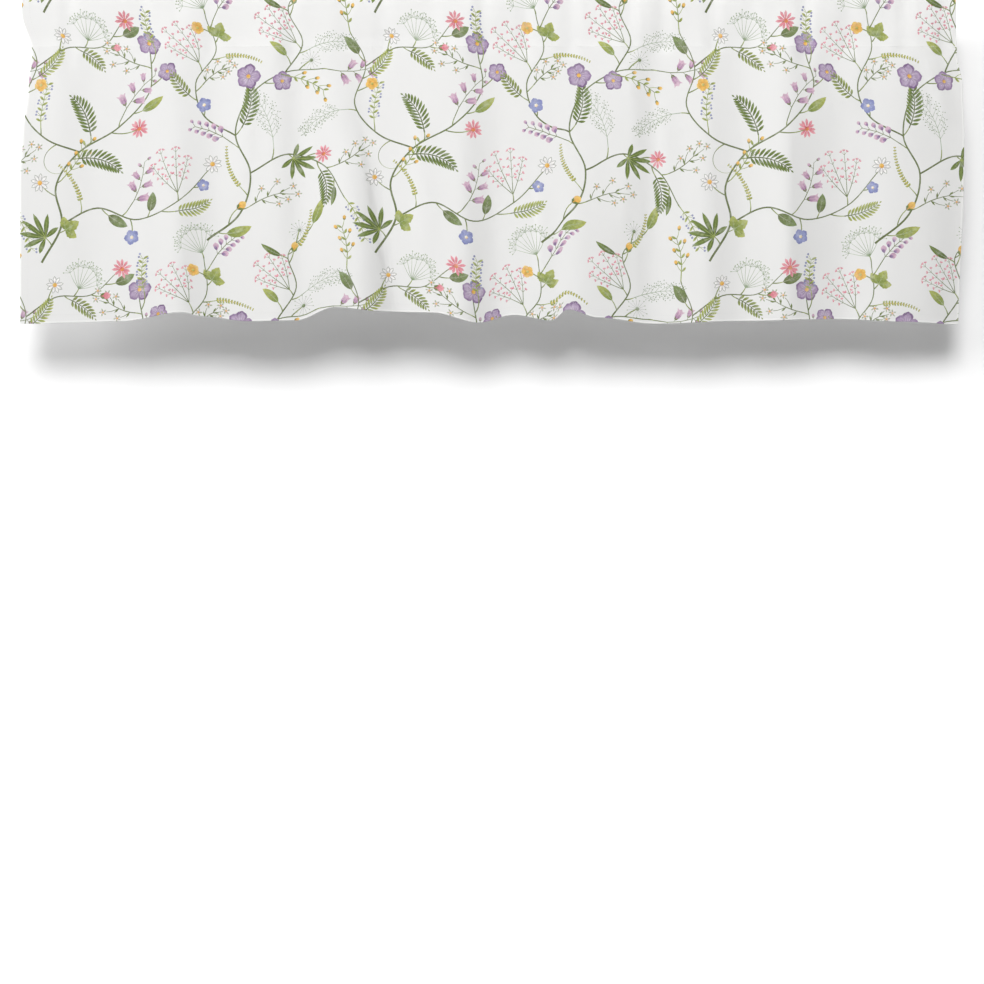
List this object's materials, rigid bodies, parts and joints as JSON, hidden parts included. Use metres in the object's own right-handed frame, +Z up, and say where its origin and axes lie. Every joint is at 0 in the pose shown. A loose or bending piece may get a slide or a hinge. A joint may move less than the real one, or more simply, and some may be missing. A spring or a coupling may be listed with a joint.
{
  "type": "window valance",
  "caption": "Short gathered window valance of printed cloth, with an open-ended rod pocket along its top, shallow uneven folds and a plain hem.",
  "frame": {"origin": "the middle of the valance's top edge, where the rod pocket bears on its rod", "axes": "+X to the right along the rod as seen from the room, +Z up, -Y towards the room"},
  "size_m": [1.301, 0.0308, 0.457],
  "materials": {
    "printed_cloth": "plain-woven white cloth with a small wildflower print, matt"
  },
  "bodies": {
    "root": {"rod_pocket": "printed_cloth", "drop_panel": "printed_cloth"}
  },
  "joints": []
}
